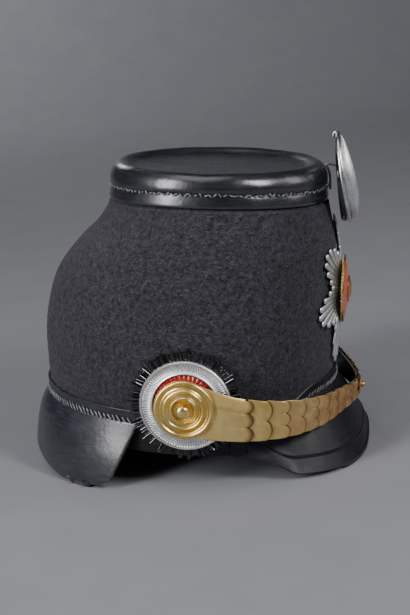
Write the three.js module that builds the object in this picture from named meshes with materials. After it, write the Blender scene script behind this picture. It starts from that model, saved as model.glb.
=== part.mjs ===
// A black felt shako with leather crown and peaks, a guard star, a field badge and brass chin scales.
//
// Everything is modelled in the hat's own frame, in millimetres: the front is towards -Y, the
// wearer's right is towards -X, and the crown is level. The last lines lean the whole hat forward
// until both peaks stand on the table, and put the origin under the middle of its box.

import * as THREE from "three";
import { mergeVertices } from "three/addons/utils/BufferGeometryUtils.js";

// Heights above the level of the rear peak's lower edge.
const BAND_FOOT = 28.5;
const BAND_TOP = 47;
const FELT_FOOT = 47.4;
const FELT_SHOULDER = 187;
const FELT_TOP = 205;

// Walls and clearances.
const FELT_WALL = 2.6;
const LEATHER = 2.4;
const THIN_LEATHER = 1.6;
const CLEARANCE = 0.4;
const CROWN_TUCK = 3.5;

// The felt body's outline at a few heights: how far it reaches ahead of and behind the chin stud,
// its half width, and how far ahead of the stud it is widest.
const BODY_OUTLINE = [
  { height: 28, front: 89, back: 107, half: 84, widest: 0 },
  { height: 50, front: 92, back: 111, half: 87, widest: 0 },
  { height: 75, front: 92.7, back: 113.6, half: 89, widest: 0 },
  { height: 105, front: 92.5, back: 113.3, half: 89, widest: 0 },
  { height: 130, front: 92, back: 107.5, half: 86.5, widest: 0 },
  { height: 145, front: 91.7, back: 99.5, half: 83.5, widest: 1.5 },
  { height: 160, front: 91.2, back: 87.5, half: 79.5, widest: 4 },
  { height: 172, front: 89.5, back: 75, half: 75, widest: 7 },
  { height: 181, front: 87.6, back: 69, half: 70.8, widest: 9 },
  { height: 187, front: 86.4, back: 66.8, half: 68.2, widest: 9.6 },
  { height: 205, front: 85.6, back: 66.3, half: 67, widest: 9.65 },
];

// The crown is an oval cap. Its section runs from the middle of the underside round the skirt and
// over the rolled rim to the middle of the sunken top: distance inside the outline, and height.
const CROWN = { front: 85.6, back: 66.3, half: 67, hemLift: 3 };
const CROWN_SECTION = [
  { inset: 76, height: 208 },
  { inset: 17, height: 208.4 },
  { inset: 13, height: 211.4 },
  { inset: 6.4, height: 211.6 },
  { inset: 2.8, height: 206 },
  { inset: 2.2, height: 190.4 },
  { inset: 0.4, height: 190.2 },
  { inset: 0, height: 200.4 },
  { inset: 1, height: 201.4 },
  { inset: 0.4, height: 203 },
  { inset: 1, height: 208 },
  { inset: 3.4, height: 212.4 },
  { inset: 8.4, height: 214.8 },
  { inset: 12.6, height: 213.8 },
  { inset: 16, height: 211 },
  { inset: 76, height: 210.4 },
];

// Front peak: the seam on the body, and the outer edge, a blunt oval that starts beside the tabs.
const FRONT_PEAK = {
  seamAngle: THREE.MathUtils.degToRad(64.5),
  seamFlatAngle: THREE.MathUtils.degToRad(28),
  seamHeight: 61,
  seamFall: 24,
  stripHeight: 8,
  edgeStart: 38,
  edgeReach: 79.3,
  edgeHalf: 85,
  edgePower: 2.8,
  edgeHeight: 18.2,
  edgeRise: 11,
  riseStart: 0.78,
  bulge: 2,
};

// Small leather tab that ends the front seam on each side.
const CORNER_TAB = { angle: 68.4, foot: 27.4, wide: 10, tall: 15 };

// Rear peak: how its outline grows from the seam down to the table, and its two straight sides.
const REAR_PEAK = {
  seamHeight: 49,
  stripHeight: 8,
  foot: -1.2,
  sideTop: 33,
  sideFoot: 56,
  cornerLift: 9,
  cornerStart: 0.9,
  backLift: 12,
  backStart: 0.1,
  backEnd: 0.8,
};
const REAR_PEAK_OUTLINE = [
  { height: 0, back: 121.5, half: 95 },
  { height: 8, back: 121.9, half: 95 },
  { height: 16, back: 121.5, half: 94.3 },
  { height: 24, back: 120.5, half: 93 },
  { height: 32, back: 119.1, half: 91 },
  { height: 40, back: 116.7, half: 89 },
  { height: 49, back: 111.4, half: 87.3 },
];

// The table in the hat's own frame: its rise towards the front, and where its height is zero.
const TABLE = { slope: 0.1, crossing: 69 };

// Guard star on the front: six arms of fine rays, pinned on turned a little towards the wearer's right.
const STAR = {
  height: 126,
  turn: THREE.MathUtils.degToRad(-14),
  arms: 6,
  armSharpness: 1.6,
  rays: 36,
  tallArm: 52,
  sideArm: 43,
  hollow: 28,
  root: 0.88,
  gap: 1,
  dome: 2.4,
  sheet: 0.9,
};
const MEDALLION = {
  radius: 23.3,
  ahead: 97.6,
  thick: 1.2,
  dome: 2.4,
  rim: 1.1,
  boss: 8.6,
  bossRise: 2.2,
  gap: 0.3,
};

// Field badge above the star: the oval's plane leans back, and its face swells towards the foot.
const BADGE = {
  ahead: 95.7,
  height: 204.6,
  lean: THREE.MathUtils.degToRad(9.5),
  halfTall: 30.6,
  halfWide: 23,
  depth: 5.6,
  rimWire: 1.3,
  swell: 11.4,
};

// The wire's radius, and its line from the back of the badge over the crown's edge and down.
const BADGE_WIRE = 0.8;
const BADGE_WIRE_LINE = [
  { ahead: 89.2, height: 212.8 },
  { ahead: 85.8, height: 213.2 },
  { ahead: 84.3, height: 212.6 },
  { ahead: 85.4, height: 210 },
  { ahead: 86.6, height: 205 },
  { ahead: 86.9, height: 196 },
];

// Cockade on the wearer's right and the rosettes of the chin scales, at the height of the studs.
const STUD_HEIGHT = 67;
const COCKADE = { face: 89.4, outer: 38.3, ring: 30.4, ringInner: 21.4 };
const ROSETTE = { radius: 20, right: 99.5, left: 93.8 };
const STUD_BALL = 4.4;

// Chin scales: the line of the strap on each side, from behind the stud to just past the middle of
// the front, where the two ends lap.
const STRAP_LINE = [
  { ahead: -20, right: 98.4, left: 92.4, height: 67 },
  { ahead: 0, right: 98.4, left: 92.4, height: 67 },
  { ahead: 14, right: 98.4, left: 92.4, height: 64.2 },
  { ahead: 28, right: 97.6, left: 92.5, height: 61.6 },
  { ahead: 43, right: 94.2, left: 91.8, height: 59.6 },
  { ahead: 68, right: 84.5, left: 84.5, height: 59 },
  { ahead: 87, right: 63.5, left: 63.5, height: 57.8 },
  { ahead: 101, right: 33.5, left: 33.5, height: 57 },
  { ahead: 107, right: 17, left: 17, height: 56.2 },
  { ahead: 110.5, right: 0, left: 0, height: 55.7 },
  { ahead: 110, right: -6, left: -6, height: 55.7 },
];
const STRAP = {
  behindStud: 20,
  firstEnd: 42,
  lapEnd: 19,
  lapLift: 1.3,
  wide: 29,
  taper: 0.136,
  rosetteWide: 37,
};
const SCALE = { perSide: 9, plate: 0.7, lift: 1, tuck: 1.4, lobe: 3.8 };
const BACKING = { from: -15, short: 11, inner: -1.5, outer: -0.3, share: 0.7 };
const LAP_STUD = { radius: 2.1, ahead: 113 };

const FELT = new THREE.MeshStandardMaterial({ color: 0x2b2a2f, roughness: 0.95, metalness: 0 });
const BLACK_LEATHER = new THREE.MeshStandardMaterial({ color: 0x232429, roughness: 0.35, metalness: 0 });
const BRASS = new THREE.MeshStandardMaterial({ color: 0xb8935a, roughness: 0.3, metalness: 1 });
const SILVER = new THREE.MeshStandardMaterial({ color: 0xc4c5c8, roughness: 0.3, metalness: 1 });
const STEEL_WIRE = new THREE.MeshStandardMaterial({ color: 0x8d8c88, roughness: 0.4, metalness: 1 });
const BLACK_LACQUER = new THREE.MeshStandardMaterial({ color: 0x0c0c0e, roughness: 0.12, metalness: 0 });
const RED_ENAMEL = new THREE.MeshStandardMaterial({ color: 0xae3c2f, roughness: 0.25, metalness: 0 });

const hat = new THREE.Group();
const { degToRad, clamp, smoothstep } = THREE.MathUtils;

// ---- shared ways of making a piece ----

// Reads a table of rows as a smooth curve of one of its columns.
function tableCurve(rows, key, columns) {
  const places = rows.map((row) => row[key]);
  const values = rows.flatMap((row) => columns.map((column) => row[column]));
  const curve = new THREE.CubicInterpolant(places, values, columns.length, new Array(columns.length));
  return (place) => {
    const result = curve.evaluate(clamp(place, places[0], places.at(-1)));
    return Object.fromEntries(columns.map((column, i) => [column, result[i]]));
  };
}

// Moves every vertex of a geometry to the place that a function gives it.
function reshape(geometry, place) {
  const position = geometry.getAttribute("position");
  for (let i = 0; i < position.count; i += 1) {
    const moved = place(position.getX(i), position.getY(i), position.getZ(i));
    position.setXYZ(i, moved.x, moved.y, moved.z);
  }
  return geometry;
}

// Leaves only the places of a geometry's vertices, so that shared vertices can be merged.
function bare(geometry) {
  geometry.deleteAttribute("normal");
  geometry.deleteAttribute("uv");
  return geometry;
}

// Turns the faces of a closed geometry outward when reshaping has left them facing in.
function facingOut(geometry) {
  const position = geometry.getAttribute("position");
  const index = geometry.getIndex();
  const corners = [new THREE.Vector3(), new THREE.Vector3(), new THREE.Vector3()];
  let volume = 0;
  for (let i = 0; i < index.count; i += 3) {
    corners.forEach((corner, k) => corner.fromBufferAttribute(position, index.getX(i + k)));
    volume += corners[0].dot(corners[1].clone().cross(corners[2]));
  }
  if (volume < 0) {
    for (let i = 0; i < index.count; i += 3) {
      const first = index.getX(i);
      index.setX(i, index.getX(i + 1));
      index.setX(i + 1, first);
    }
  }
  geometry.computeVertexNormals();
  return geometry;
}

function addPiece(name, geometry, material) {
  const piece = new THREE.Mesh(facingOut(mergeVertices(bare(geometry), 0.001)), material);
  piece.name = name;
  hat.add(piece);
  return piece;
}

// A turned solid whose section is reshaped by angle, radius and height.
function turned(section, segments, place) {
  const points = section.map(([radius, height]) => new THREE.Vector2(radius, height));
  const lathe = new THREE.LatheGeometry(points, segments);
  return reshape(lathe, (x, y, z) => place(Math.atan2(x, z), Math.hypot(x, z), y));
}

// A sheet that follows a surface given for u from -1 to 1 and v from 0 to 1, between two offsets
// along the surface's normal. The edge at v = levelEdge is cut level, as where it meets a table.
function sheet(surface, columns, rows, inner, outer, levelEdge) {
  const step = 0.004;
  const box = new THREE.BoxGeometry(2, 1, 1, columns, rows, 1);
  return reshape(box, (x, y, z) => {
    const u = clamp(x, -1 + step, 1 - step);
    const v = clamp(y + 0.5, step, 1 - step);
    const along = surface(u + step, v).sub(surface(u - step, v));
    const across = surface(u, v + step).sub(surface(u, v - step));
    const normal = along.cross(across).normalize();
    if (y + 0.5 === levelEdge) {
      normal.setZ(0).normalize();
    }
    return surface(x, y + 0.5).addScaledVector(normal, z > 0 ? outer : inner);
  });
}

// ---- body of felt and its leather foot band ----

const bodyOutline = tableCurve(BODY_OUTLINE, "height", ["front", "back", "half", "widest"]);

// A place on the body: the angle runs from the front towards the wearer's right.
function aroundBody(angle, height, out) {
  const { front, back, half, widest } = bodyOutline(height);
  const reach = Math.cos(angle) > 0 ? front - widest : back + widest;
  return new THREE.Vector3(
    -(half + out) * Math.sin(angle),
    -(widest + (reach + out) * Math.cos(angle)),
    height,
  );
}

// The crown's hem sits a little higher at the sides than at the front and back.
function hemLift(angle, height) {
  const share = smoothstep(height, FELT_SHOULDER - 12, FELT_SHOULDER) * smoothstep(-height, -208, -200);
  return CROWN.hemLift * share * Math.sin(angle) ** 2;
}

function addBody() {
  const depth = 100;
  const wallHeights = [FELT_FOOT, 62, 78, 98, 116, 130, 142, 153, 163, 172, 180, FELT_SHOULDER];
  const liningHeights = [FELT_SHOULDER, 172, 158, 142, 122, 92, FELT_FOOT];
  const tucked = depth - CROWN_TUCK;
  const section = [
    ...wallHeights.map((height) => [depth, height]),
    [tucked, FELT_SHOULDER + 2.4],
    [tucked, FELT_TOP],
    [tucked - FELT_WALL, FELT_TOP],
    [tucked - FELT_WALL, FELT_SHOULDER + 2.4],
    ...liningHeights.map((height) => [depth - FELT_WALL, height]),
    [depth, FELT_FOOT],
  ];
  const felt = turned(section, 40, (angle, radius, height) => {
    const place = aroundBody(angle, height, radius - depth);
    place.z += hemLift(angle, height);
    return place;
  });
  addPiece("body_felt", felt, FELT);

  const bandSection = [
    [depth, BAND_FOOT],
    [depth, BAND_TOP],
    [depth - FELT_WALL, BAND_TOP],
    [depth - FELT_WALL, BAND_FOOT],
    [depth, BAND_FOOT],
  ];
  const band = turned(bandSection, 40, (angle, radius, height) => aroundBody(angle, height, radius - depth));
  addPiece("base_band", band, BLACK_LEATHER);
}

// ---- leather crown ----

function addCrown() {
  const halfLength = (CROWN.front + CROWN.back) / 2;
  const middle = (CROWN.front - CROWN.back) / 2;
  const section = CROWN_SECTION.map(({ inset, height }) => [Math.max(halfLength - inset, 0), height]);
  const crown = turned(section, 40, (angle, radius, height) => {
    const share = radius / halfLength;
    const lift = radius > halfLength - 6 ? hemLift(angle, height) : 0;
    return new THREE.Vector3(
      -CROWN.half * share * Math.sin(angle),
      -(middle + halfLength * share * Math.cos(angle)),
      height + lift,
    );
  });
  addPiece("crown", crown, BLACK_LEATHER);
}

// ---- peaks ----

// Keeps a place from sinking below the table.
function onTable(place) {
  place.z = Math.max(place.z, TABLE.slope * (TABLE.crossing - place.y));
  return place;
}

function frontSeamHeight(angle) {
  const fall = smoothstep(Math.abs(angle), FRONT_PEAK.seamFlatAngle, FRONT_PEAK.seamAngle);
  return FRONT_PEAK.seamHeight - FRONT_PEAK.seamFall * fall;
}

function frontEdge(u) {
  const turn = degToRad(89) * u;
  const power = 2 / FRONT_PEAK.edgePower;
  const side = FRONT_PEAK.edgeHalf * Math.sign(turn) * Math.abs(Math.sin(turn)) ** power;
  const ahead = FRONT_PEAK.edgeStart + FRONT_PEAK.edgeReach * Math.cos(turn) ** power;
  const rise = FRONT_PEAK.edgeRise * smoothstep(Math.abs(u), FRONT_PEAK.riseStart, 1);
  return new THREE.Vector3(-side, -ahead, FRONT_PEAK.edgeHeight + rise);
}

function frontPeakSurface(u, v) {
  const angle = FRONT_PEAK.seamAngle * u;
  const seam = aroundBody(angle, frontSeamHeight(angle), CLEARANCE);
  const place = seam.lerp(frontEdge(u), v);
  const swell = FRONT_PEAK.bulge * Math.sin(Math.PI * v) * Math.cos((Math.PI / 2) * u);
  place.y -= swell;
  return place;
}

function addFrontPeak() {
  const peak = sheet(frontPeakSurface, 26, 4, 0, LEATHER, 1);
  reshape(peak, (x, y, z) => onTable(new THREE.Vector3(x, y, z)));
  addPiece("front_visor", peak, BLACK_LEATHER);

  const strip = sheet(
    (u, v) => {
      const angle = FRONT_PEAK.seamAngle * u;
      return aroundBody(angle, frontSeamHeight(angle) + LEATHER + v * FRONT_PEAK.stripHeight, 0);
    },
    22,
    1,
    -CLEARANCE,
    -CLEARANCE - THIN_LEATHER,
  );
  addPiece("front_strip", strip, BLACK_LEATHER);
}

const rearOutline = tableCurve(REAR_PEAK_OUTLINE, "height", ["back", "half"]);

function rearPeakSurface(u, v) {
  const corner = smoothstep(Math.abs(u), REAR_PEAK.cornerStart, 1);
  const middle = 1 - smoothstep(Math.abs(u), REAR_PEAK.backStart, REAR_PEAK.backEnd);
  const foot = REAR_PEAK.foot + REAR_PEAK.cornerLift * corner + REAR_PEAK.backLift * middle;
  const height = foot + (REAR_PEAK.seamHeight - foot) * v;
  const { back, half } = rearOutline(height);
  const side = THREE.MathUtils.lerp(REAR_PEAK.sideFoot, REAR_PEAK.sideTop, height / REAR_PEAK.seamHeight);
  const angle = Math.PI - u * Math.acos(side / back);
  return new THREE.Vector3(-half * Math.sin(angle), -back * Math.cos(angle), height);
}

function addRearPeak() {
  const peak = sheet(rearPeakSurface, 36, 6, 0, LEATHER, 0);
  reshape(peak, (x, y, z) => onTable(new THREE.Vector3(x, y, z)));
  addPiece("rear_visor", peak, BLACK_LEATHER);

  const halfTurn = Math.PI - Math.acos(-REAR_PEAK.sideTop / REAR_PEAK_OUTLINE.at(-1).back);
  const strip = sheet(
    (u, v) => {
      const height = REAR_PEAK.seamHeight + THIN_LEATHER + v * REAR_PEAK.stripHeight;
      return aroundBody(Math.PI - u * halfTurn, height, 0);
    },
    24,
    1,
    CLEARANCE,
    CLEARANCE + THIN_LEATHER,
  );
  addPiece("rear_strip", strip, BLACK_LEATHER);
}

function addCornerTabs() {
  const { wide, tall, angle, foot } = CORNER_TAB;
  const outline = new THREE.Shape();
  outline.moveTo(wide / 2, tall);
  outline.lineTo(-wide / 2, tall);
  outline.lineTo(-wide / 2, wide / 2);
  outline.absarc(0, wide / 2, wide / 2, Math.PI, Math.PI * 2, false);
  outline.closePath();
  for (const [side, name] of [[1, "right"], [-1, "left"]]) {
    const tab = new THREE.ExtrudeGeometry(outline, {
      depth: THIN_LEATHER,
      curveSegments: 6,
      bevelEnabled: false,
    });
    reshape(tab, (x, y, z) => {
      const turn = side * (degToRad(angle) + x / BODY_OUTLINE[0].half);
      return aroundBody(turn, foot + y, CLEARANCE + z);
    });
    addPiece("corner_tab_" + name, tab, BLACK_LEATHER);
  }
}

// ---- guard star with its medallion ----

// How far the front of the body stands ahead at a place beside the middle line.
function bodyFront(side, height) {
  const { front, half, widest } = bodyOutline(height);
  return widest + (front - widest) * Math.sqrt(1 - (side / half) ** 2);
}

function starPoint(across, up, out) {
  const distance = Math.hypot(across, up);
  const dome = STAR.dome * (1 - smoothstep(distance, MEDALLION.radius * 0.7, STAR.tallArm));
  const height = STAR.height + up;
  return new THREE.Vector3(across, -(bodyFront(across, height) + STAR.gap + dome + out), height);
}

function addStar() {
  const columns = STAR.rays * 2;
  const section = [
    [0, 0],
    [0.35, 0],
    [0.7, 0],
    [1, 0],
    [1, STAR.sheet],
    [0.7, STAR.sheet],
    [0.35, STAR.sheet],
    [0, STAR.sheet],
  ];
  const plate = turned(section, columns, (angle, radius, height) => {
    const column = Math.round((angle / (2 * Math.PI)) * columns + columns);
    const arm = THREE.MathUtils.lerp(STAR.sideArm, STAR.tallArm, Math.cos(angle) ** 4);
    const armShare = Math.abs(Math.cos((STAR.arms / 2) * angle)) ** STAR.armSharpness;
    const ray = THREE.MathUtils.lerp(STAR.hollow, arm, armShare);
    const reach = radius * (column % 2 === 0 ? ray : ray * STAR.root);
    const turn = angle + STAR.turn;
    return starPoint(-Math.sin(turn) * reach, Math.cos(turn) * reach, height);
  });
  addPiece("star_plate", plate, SILVER);

  // A flat piece of the medallion, turned about the line straight ahead.
  const ahead = (name, section, material) => {
    const piece = turned(section, 28, (angle, radius, height) => {
      const up = STAR.height + radius * Math.cos(angle);
      return new THREE.Vector3(radius * Math.sin(angle), -(MEDALLION.ahead + height), up);
    });
    addPiece(name, piece, material);
  };
  const { radius, rim, thick, dome, boss, bossRise, gap } = MEDALLION;
  const discEdge = radius - rim - gap;
  ahead(
    "medallion_disc",
    [
      [0, 0],
      [discEdge, 0],
      [discEdge, thick],
      [discEdge * 0.8, thick + dome * 0.6],
      [boss + 2, thick + dome],
      [0, thick + dome],
    ],
    RED_ENAMEL,
  );
  ahead(
    "medallion_rim",
    [
      [radius - rim, 0],
      [radius + 0.2, 0],
      [radius + 0.2, thick],
      [radius - 0.4, thick + 0.5],
      [radius - rim, thick],
      [radius - rim, 0],
    ],
    BRASS,
  );
  const foot = thick + dome + gap;
  ahead(
    "medallion_boss",
    [
      [0, foot],
      [boss, foot],
      [boss, foot + bossRise * 0.3],
      [boss * 0.75, foot + bossRise * 0.8],
      [boss * 0.4, foot + bossRise],
      [0, foot + bossRise],
    ],
    BRASS,
  );
}

// ---- field badge and its wire ----

function addBadge() {
  const lean = new THREE.Matrix4().makeRotationX(-BADGE.lean);
  const centre = new THREE.Vector3(0, -BADGE.ahead, BADGE.height);

  // An oval piece of the badge: radius 1 is the rim, and height is measured forward of its plane.
  const oval = (name, section, segments, material) => {
    const piece = turned(section, segments, (angle, radius, height) => {
      const across = BADGE.halfWide * radius * Math.sin(angle);
      const up = BADGE.halfTall * radius * Math.cos(angle);
      return new THREE.Vector3(across, -height, up).applyMatrix4(lean).add(centre);
    });
    addPiece(name, piece, material);
  };
  const wire = BADGE.rimWire / BADGE.halfWide;
  oval(
    "badge_body",
    [
      [0, -BADGE.depth + 1.2],
      [0.7, -BADGE.depth + 1],
      [0.9, -BADGE.depth],
      [1, -BADGE.depth + 1.6],
      [1, -0.9],
      [0.9, -0.5],
      [0, -0.5],
    ],
    28,
    BLACK_LACQUER,
  );
  oval(
    "badge_rim",
    [
      [1 - wire, -0.2],
      [1, -0.5],
      [1 + wire, 0.4],
      [1, 1.4],
      [1 - wire, 0.9],
      [1 - wire, -0.2],
    ],
    28,
    SILVER,
  );
  const face = turned(
    [[0, 0], [0.92, 0], [0.92, 0.1], [0.78, 0.5], [0.55, 0.85], [0.28, 0.97], [0, 1]],
    28,
    (angle, radius, height) => {
      const across = BADGE.halfWide * radius * Math.sin(angle);
      const up = BADGE.halfTall * radius * Math.cos(angle);
      const low = 0.5 - (0.5 * up) / BADGE.halfTall;
      const swell = BADGE.swell * height * (0.45 + 0.55 * low);
      return new THREE.Vector3(across, -(0.1 + swell), up).applyMatrix4(lean).add(centre);
    },
  );
  addPiece("badge_face", face, SILVER);

  const line = BADGE_WIRE_LINE.map(({ ahead, height }) => new THREE.Vector3(0, -ahead, height));
  const hook = new THREE.CatmullRomCurve3(line, false, "centripetal");
  const section = new THREE.Shape().absarc(0, 0, BADGE_WIRE, 0, Math.PI * 2);
  const wireBody = new THREE.ExtrudeGeometry(section, { steps: 16, curveSegments: 8, extrudePath: hook });
  addPiece("badge_hook", wireBody, STEEL_WIRE);
}

// ---- cockade, rosettes and studs ----

// A piece turned about a line straight out of the hat's side through the stud.
function addSideDisc(name, section, segments, side, material) {
  const piece = turned(section, segments, (angle, radius, height) => {
    const up = STUD_HEIGHT + radius * Math.cos(angle);
    return new THREE.Vector3(side * height, radius * Math.sin(angle), up);
  });
  addPiece(name, piece, material);
}

function addCockade() {
  const { face, outer, ring, ringInner } = COCKADE;
  const back = face + 1.9;
  addSideDisc(
    "cockade_outer",
    [
      [9, face],
      [outer - 1, face],
      [outer, face + 1.2],
      [outer - 0.4, face + 2.6],
      [ring + 1.6, face + 3],
      [ring + 0.7, face + 1.5],
      [9, face + 1.5],
      [9, face],
    ],
    44,
    -1,
    BLACK_LACQUER,
  );
  addSideDisc(
    "cockade_ring",
    [
      [ringInner, back],
      [ring, back],
      [ring, back + 2],
      [ring - 1.2, back + 2.9],
      [ringInner + 3, back + 2.5],
      [ringInner + 1, back + 3.3],
      [ringInner, back + 2.4],
      [ringInner, back],
    ],
    32,
    -1,
    SILVER,
  );
  addSideDisc(
    "cockade_centre",
    [[9, back], [ringInner - 0.4, back], [ringInner - 0.4, back + 1.6], [9, back + 2.2], [9, back]],
    32,
    -1,
    RED_ENAMEL,
  );
}

function addRosette(side, name) {
  const base = ROSETTE[name];
  const { radius } = ROSETTE;
  const section = [
    [0, 0],
    [radius - 0.6, 0],
    [radius, 1],
    [radius - 1.4, 2.6],
    [radius - 3.6, 2],
    [13.4, 3.2],
    [11.4, 2.5],
    [8.6, 3.8],
    [6.4, 3],
    [0, 3],
  ];
  const placed = section.map(([r, height]) => [r, base + height]);
  addSideDisc("rosette_" + name, placed, 24, side, BRASS);

  const foot = base + 3.3;
  const ball = [
    [0, foot],
    [2.6, foot],
    [STUD_BALL * 0.94, foot + 1.2],
    [STUD_BALL, foot + 2.2],
    [STUD_BALL * 0.8, foot + 3.6],
    [STUD_BALL * 0.4, foot + 4.4],
    [0, foot + 4.6],
  ];
  addSideDisc("stud_" + name, ball, 12, side, BRASS);
}

// ---- chin scales ----

// The strap's line on one side: side is -1 for the wearer's right. Distances run from the stud.
function strapCurve(side, name) {
  const points = STRAP_LINE.map((row) => new THREE.Vector3(side * row[name], -row.ahead, row.height));
  const curve = new THREE.CatmullRomCurve3(points, false, "centripetal");
  const length = curve.getLength();
  const middle = (distance) => curve.getPointAt(clamp((distance + STRAP.behindStud) / length, 0, 1));
  const outward = (distance) => {
    const along = middle(distance + 0.5).sub(middle(distance - 0.5));
    return new THREE.Vector3(-side * along.y, side * along.x, 0).normalize();
  };
  return { middle, outward, end: length - STRAP.behindStud };
}

function strapWidth(distance) {
  const flare = (STRAP.rosetteWide - STRAP.wide) * (1 - smoothstep(distance, 0, STRAP.firstEnd));
  const taper = STRAP.taper * Math.max(distance - STRAP.firstEnd, 0);
  return STRAP.wide + flare - taper;
}

// A strip of the strap given by rows along it: the distance, how far it is raised and its share of
// the full width. A lobed strip has its last row cut in round lobes.
function strapStrip(strap, rows, lobes, inner, outer) {
  const columns = rows.length - 1;
  const across = Math.max(lobes * 3, 2);
  const grid = new THREE.BoxGeometry(columns, 1, 1, columns, across, 1);
  return reshape(grid, (x, y, z) => {
    const column = Math.round(x + columns / 2);
    const { at, raise, share } = rows[column];
    const scallop = lobes > 0 && column === columns ? Math.abs(Math.sin(Math.PI * lobes * (y + 0.5))) : 0;
    const distance = at + SCALE.lobe * scallop ** 0.6;
    const out = raise + (z > 0 ? outer : inner);
    const place = strap.middle(distance).addScaledVector(strap.outward(distance), out);
    place.z += y * share * strapWidth(at);
    return place;
  });
}

function addChinScales(side, name) {
  const strap = strapCurve(side, name);
  const plate = (rows, lobes) => strapStrip(strap, rows, lobes, 0, SCALE.plate);
  const lapStart = strap.end - STRAP.lapEnd;
  const pitch = (lapStart - STRAP.firstEnd) / SCALE.perSide;
  const low = SCALE.tuck + SCALE.lobe + 0.4;

  // Rows of a plate's free end, which lies raised over the plate in front of it.
  const freeEnd = (at) => [
    { at: at - SCALE.tuck - 0.4, raise: SCALE.lift, share: 1 },
    { at: at + 0.4, raise: SCALE.lift, share: 1 },
  ];
  const first = [
    { at: -17, raise: 0, share: 0.4 },
    { at: -12, raise: 0, share: 0.76 },
    { at: -5, raise: 0, share: 0.96 },
    { at: 8, raise: 0, share: 1 },
    { at: 24, raise: 0, share: 1 },
    { at: STRAP.firstEnd - 7, raise: 0, share: 1 },
    ...freeEnd(STRAP.firstEnd),
  ];
  addPiece("first_scale_" + name, plate(first, 3), BRASS);

  for (let i = 0; i < SCALE.perSide; i += 1) {
    const start = STRAP.firstEnd + pitch * i;
    const rows = [
      { at: start - SCALE.tuck, raise: 0, share: 1 },
      { at: start - SCALE.tuck + low, raise: 0, share: 1 },
      ...freeEnd(start + pitch),
    ];
    addPiece("scale_" + name + "_" + (i + 1), plate(rows, i % 2 === 0 ? 2 : 3), BRASS);
  }

  // The left lap plate rises over the right one at the middle of the front.
  const lapRaise = name === "left" ? STRAP.lapLift : 0;
  const lap = [
    { at: lapStart - SCALE.tuck, raise: 0, share: 1 },
    { at: lapStart - SCALE.tuck + low, raise: 0, share: 1 },
    { at: strap.end - 12, raise: lapRaise, share: 1 },
    { at: strap.end - 6, raise: lapRaise, share: 1 },
    { at: strap.end - 2, raise: lapRaise, share: 0.8 },
    { at: strap.end - 0.6, raise: lapRaise, share: 0.4 },
  ];
  addPiece("lap_plate_" + name, plate(lap, 0), BRASS);

  const backingEnd = strap.end - BACKING.short;
  const backing = [BACKING.from, -8, 4, 16, 28, 40, 52, 64, 76, 88, 100, 112, 124, 136, 148]
    .filter((at) => at < backingEnd - 4)
    .concat(backingEnd)
    .map((at) => ({ at, raise: 0, share: at < 0 ? BACKING.share * 0.8 : BACKING.share }));
  const leather = strapStrip(strap, backing, 0, BACKING.inner, BACKING.outer);
  addPiece("scale_backing_" + name, leather, BLACK_LEATHER);
}

function addLapStud() {
  const { radius, ahead } = LAP_STUD;
  const section = [
    [0, 0],
    [radius * 0.6, 0],
    [radius, radius * 0.6],
    [radius * 0.8, radius * 1.3],
    [radius * 0.4, radius * 1.65],
    [0, radius * 1.7],
  ];
  const height = STRAP_LINE.at(-1).height;
  const stud = turned(section, 12, (angle, r, out) => {
    return new THREE.Vector3(r * Math.sin(angle), -(ahead + out), height + r * Math.cos(angle));
  });
  addPiece("lap_stud", stud, BRASS);
}

addBody();
addCrown();
addFrontPeak();
addRearPeak();
addCornerTabs();
addStar();
addBadge();
addCockade();
for (const [side, name] of [[-1, "right"], [1, "left"]]) {
  addRosette(side, name);
  addChinScales(side, name);
}
addLapStud();

// The hat leans forward onto both peaks, and its origin is under the middle of its box.
hat.rotation.x = Math.atan(TABLE.slope);
hat.updateMatrixWorld(true);
const box = new THREE.Box3().setFromObject(hat, true);
const middle = box.getCenter(new THREE.Vector3());
hat.position.set(-middle.x, -middle.y, -box.min.z);

export default hat;
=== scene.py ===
import math
import random

import bmesh
import bpy
from mathutils import Matrix, Vector, noise


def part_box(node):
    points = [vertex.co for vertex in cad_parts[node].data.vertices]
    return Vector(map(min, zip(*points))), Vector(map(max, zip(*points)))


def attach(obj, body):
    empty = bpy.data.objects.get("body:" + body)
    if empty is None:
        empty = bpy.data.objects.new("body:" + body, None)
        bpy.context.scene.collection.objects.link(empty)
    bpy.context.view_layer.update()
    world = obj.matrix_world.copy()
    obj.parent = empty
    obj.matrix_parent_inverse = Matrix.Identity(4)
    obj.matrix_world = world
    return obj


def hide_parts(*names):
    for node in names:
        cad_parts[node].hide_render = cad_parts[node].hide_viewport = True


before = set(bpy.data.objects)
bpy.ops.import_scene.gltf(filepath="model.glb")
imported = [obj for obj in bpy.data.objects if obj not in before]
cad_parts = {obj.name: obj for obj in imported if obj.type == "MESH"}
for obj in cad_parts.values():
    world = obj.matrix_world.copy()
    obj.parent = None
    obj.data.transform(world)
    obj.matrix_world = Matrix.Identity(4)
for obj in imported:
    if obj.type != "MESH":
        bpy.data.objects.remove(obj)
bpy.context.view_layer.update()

# ---- how the hat stands, the camera, the table and the lights ----
# The hat stands by itself, leaning 5.7 degrees forward onto its two peaks. Every piece is made in
# the hat's own level millimetres, front towards -Y, and one matrix lays it into its place.

TABLE_SLOPE = 0.1
TABLE_CROSSING = 69
STUD_HEIGHT = 67
MM = 0.001

felt_low, felt_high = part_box("body_felt")
rosette_low, rosette_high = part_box("rosette_right")
lean = Matrix.Rotation(math.atan(TABLE_SLOPE), 4, "X")
stud_lifted = lean @ Vector((0, 0, STUD_HEIGHT * MM))
stud_centre = (rosette_low + rosette_high) / 2
shift = stud_centre - stud_lifted
shift.x = (felt_low.x + felt_high.x) / 2
hat_turn = Matrix.Translation(shift) @ lean
hat_place = hat_turn @ Matrix.Scale(MM, 4)

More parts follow.
